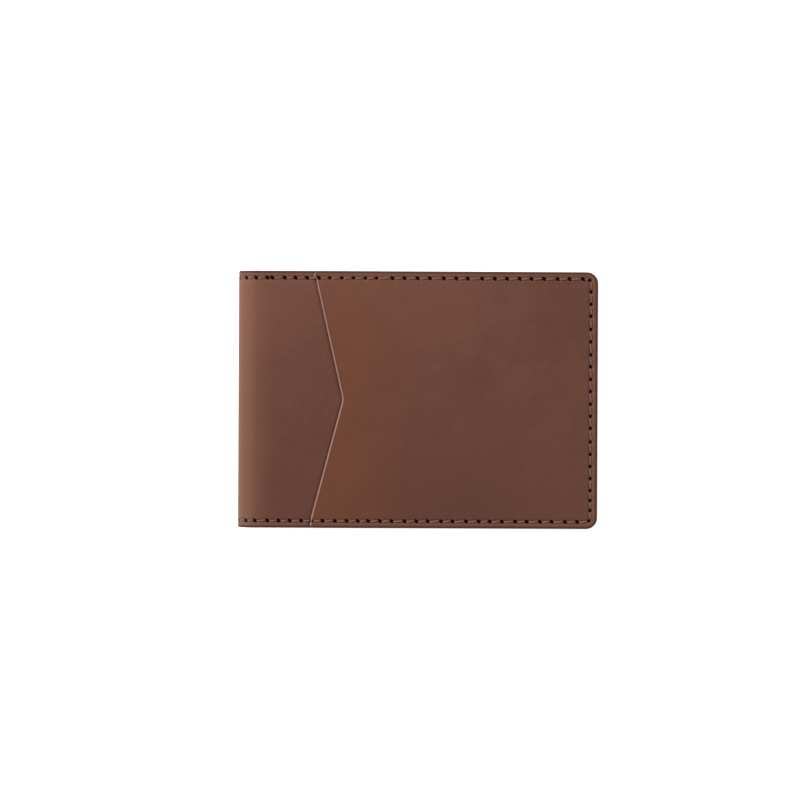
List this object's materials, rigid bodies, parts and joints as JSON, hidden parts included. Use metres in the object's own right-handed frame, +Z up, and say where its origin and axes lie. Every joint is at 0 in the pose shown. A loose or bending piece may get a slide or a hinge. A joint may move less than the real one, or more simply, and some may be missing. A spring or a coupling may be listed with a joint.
{
  "type": "bifold wallet",
  "caption": "Slim leather bifold wallet, closed, with a chevron-mouthed quick pocket outside, stepped card slots inside and a steel money clip at the fold.",
  "frame": {"origin": "centre of the closed wallet's outline, on the back cover's outer face that it lies on", "axes": "+X from the fold to the free edge, +Y to the top edge with the card slots' mouths, +Z up from the back cover to the front cover"},
  "size_m": [0.11, 0.0786, 0.0123],
  "materials": {
    "shell_leather": "matte waxed brown pull-up leather",
    "pocket_leather": "matte waxed brown pull-up leather, slightly warmer",
    "interior_leather": "matte waxed brown leather, thinner",
    "lining_leather": "matte brown lining leather",
    "thread": "waxed dark red-brown sewing thread",
    "clip_steel": "brushed spring steel",
    "rivet_nickel": "polished nickel plate"
  },
  "bodies": {
    "back": {"back_cover": "shell_leather", "back_lining": "lining_leather", "back_slot_upper": "interior_leather", "back_slot_middle": "interior_leather", "back_slot_lower": "interior_leather", "back_thread_outer": "thread", "back_thread_inner": "thread", "back_slot_thread": "thread", "clip_base": "clip_steel", "clip_rivet_top": "rivet_nickel", "clip_rivet_bottom": "rivet_nickel"},
    "spine": {"spine_shell": "shell_leather", "spine_lining": "lining_leather", "spine_thread_outer_top": "thread", "spine_thread_outer_bottom": "thread", "spine_thread_inner_top": "thread", "spine_thread_inner_bottom": "thread"},
    "front": {"front_cover": "shell_leather", "front_lining": "lining_leather", "front_quick_pocket": "pocket_leather", "front_slot_upper": "interior_leather", "front_slot_middle": "interior_leather", "front_slot_lower": "interior_leather", "front_thread_outer": "thread", "front_thread_inner": "thread", "front_slot_thread": "thread"},
    "clip": {"clip_leaf": "clip_steel"}
  },
  "joints": [
    {"name": "spine_fold", "type": "hinge", "parent": "back", "child": "spine", "pos_m": [-0.05334, 0, 0.00166], "axis": [0, -1, 0], "range_deg": [0, 88.5]},
    {"name": "front_cover_fold", "type": "hinge", "parent": "spine", "child": "front", "pos_m": [-0.05334, 0, 0.00965], "axis": [0, -1, 0], "range_deg": [0, 88.5]},
    {"name": "clip_flex", "type": "hinge", "parent": "back", "child": "clip", "pos_m": [-0.05058, 0, 0.0039], "axis": [0, -1, 0], "range_deg": [0, 3.2], "stiffness_Nm_per_rad": 0.5, "springref_deg": -2.86}
  ],
  "couplings": [
    {"joint": "front_cover_fold", "follows": "spine_fold", "ratio": 1}
  ]
}
